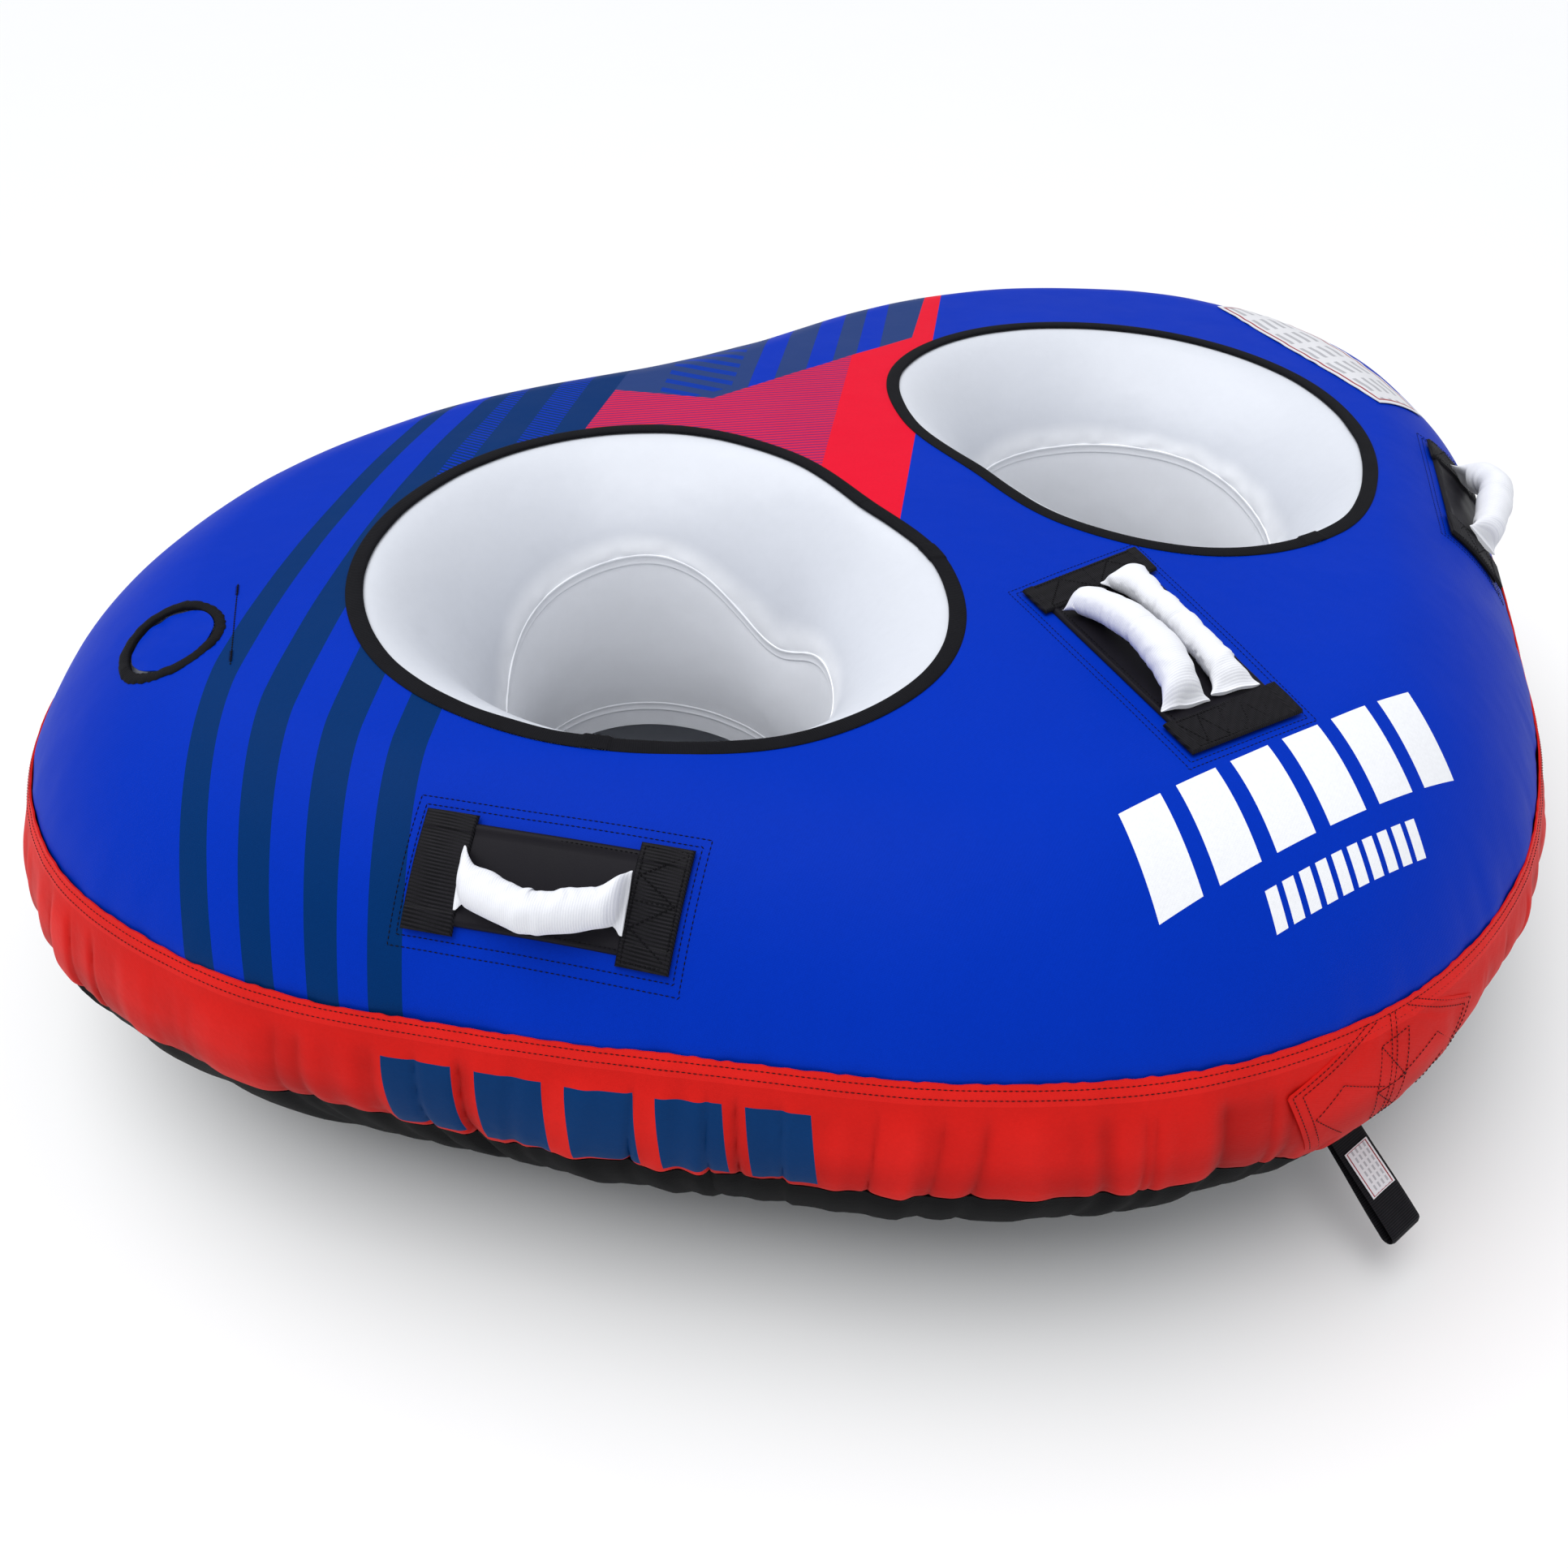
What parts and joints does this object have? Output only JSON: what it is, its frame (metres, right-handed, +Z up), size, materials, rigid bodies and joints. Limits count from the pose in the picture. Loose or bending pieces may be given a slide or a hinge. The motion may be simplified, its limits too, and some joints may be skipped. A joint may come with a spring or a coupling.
{
  "type": "towable tube",
  "caption": "Inflatable tow tube with deep seat wells, a sewn fabric cover, padded grips, a zip and a tow loop at the nose.",
  "frame": {"origin": "on the flat bottom panel, on the tube's middle plane, midway between the seat wells", "axes": "+Z up, -Y towards the tow nose, +X towards the right-hand seat well seen from behind"},
  "size_m": [1.7374, 1.3232, 0.4857],
  "materials": {
    "white_film": "smooth PVC film, semi-gloss",
    "blue_nylon": "coated nylon, fine twill, satin",
    "red_nylon": "coated nylon, plain weave, satin",
    "black_nylon": "coated nylon, matte",
    "binding_tape": "ribbed woven tape, matte",
    "neoprene": "knit-faced neoprene, matte",
    "webbing": "ribbed polyester webbing, matte",
    "grip_fabric": "ribbed white nylon over foam",
    "label_fabric": "white label cloth, satin",
    "valve_boss": "moulded soft PVC",
    "valve_plastic": "moulded nylon",
    "rubber": "soft rubber sheet",
    "zip_plastic": "moulded coil and slider"
  },
  "bodies": {
    "tube": {"air_bladder": "white_film", "upper_weld_left": "white_film", "upper_weld_right": "white_film", "lower_weld_left": "white_film", "lower_weld_right": "white_film", "mouth_binding_left": "binding_tape", "mouth_binding_right": "binding_tape", "cover_top_panel": "blue_nylon", "cover_side_band": "red_nylon", "cover_lower_band": "black_nylon", "cover_bottom_panel": "black_nylon", "handle_pad_left": "neoprene", "handle_pad_centre": "neoprene", "handle_pad_right": "neoprene", "end_webbing_left_rear": "webbing", "end_webbing_left_front": "webbing", "end_webbing_centre_rear": "webbing", "end_webbing_centre_front": "webbing", "end_webbing_right_rear": "webbing", "end_webbing_right_front": "webbing", "nose_patch": "red_nylon", "shoulder_label": "label_fabric", "valve_base": "valve_boss", "valve_body": "valve_plastic", "valve_diaphragm": "rubber", "valve_opening_binding": "binding_tape", "zip_tape": "webbing", "zip_coil": "zip_plastic"},
    "handle_left": {"grip_left": "grip_fabric", "grip_strap_left": "webbing"},
    "handle_centre_left": {"grip_centre_left": "grip_fabric", "grip_strap_centre_left": "webbing"},
    "handle_centre_right": {"grip_centre_right": "grip_fabric", "grip_strap_centre_right": "webbing"},
    "handle_right": {"grip_right": "grip_fabric", "grip_strap_right": "webbing"},
    "tow_strap": {"tow_loop": "webbing", "tow_label": "label_fabric"},
    "flap": {"valve_flap": "blue_nylon"},
    "cap": {"valve_cap": "valve_plastic"},
    "slider": {"zip_slider": "zip_plastic"},
    "pull": {"zip_pull": "webbing"}
  },
  "joints": [
    {"name": "handle_left_swing", "type": "hinge", "parent": "tube", "child": "handle_left", "pos_m": [-0.54669, -0.35044, 0.39277], "axis": [0.7059, -0.7059, -0.0584], "range_deg": [-100, 0]},
    {"name": "handle_centre_left_swing", "type": "hinge", "parent": "tube", "child": "handle_centre_left", "pos_m": [-0.03204, -0.40635, 0.45153], "axis": [-0.1908, -0.9813, -0.0268], "range_deg": [0, 73]},
    {"name": "handle_centre_right_swing", "type": "hinge", "parent": "tube", "child": "handle_centre_right", "pos_m": [0.02403, -0.40735, 0.45152], "axis": [-0.2034, -0.9788, -0.0257], "range_deg": [-76, 0]},
    {"name": "handle_right_swing", "type": "hinge", "parent": "tube", "child": "handle_right", "pos_m": [0.54669, -0.35044, 0.39277], "axis": [-0.7059, -0.7059, -0.0584], "range_deg": [-42, 60]},
    {"name": "tow_strap_swing", "type": "hinge", "parent": "tube", "child": "tow_strap", "pos_m": [0, -0.711, 0.112], "axis": [-1, 0, 0], "range_deg": [0, 100]},
    {"name": "flap_lift", "type": "hinge", "parent": "tube", "child": "flap", "pos_m": [-0.65961, 0.05622, 0.4352], "axis": [0, 0.9995, -0.0312], "range_deg": [0, 90]},
    {"name": "cap_turn", "type": "hinge", "parent": "tube", "child": "cap", "pos_m": [-0.693, 0.056, 0.42814], "axis": [-0.292, 0.0298, 0.9559], "range_deg": [0, 360]},
    {"name": "zip_slide", "type": "slide", "parent": "tube", "child": "slider", "axis": [1, 0, 0], "range_m": [0, 0.436]},
    {"name": "pull_swing", "type": "hinge", "parent": "slider", "child": "pull", "pos_m": [-0.218, 0.5158, 0.2165], "axis": [1, 0, 0], "range_deg": [0, 120]}
  ]
}
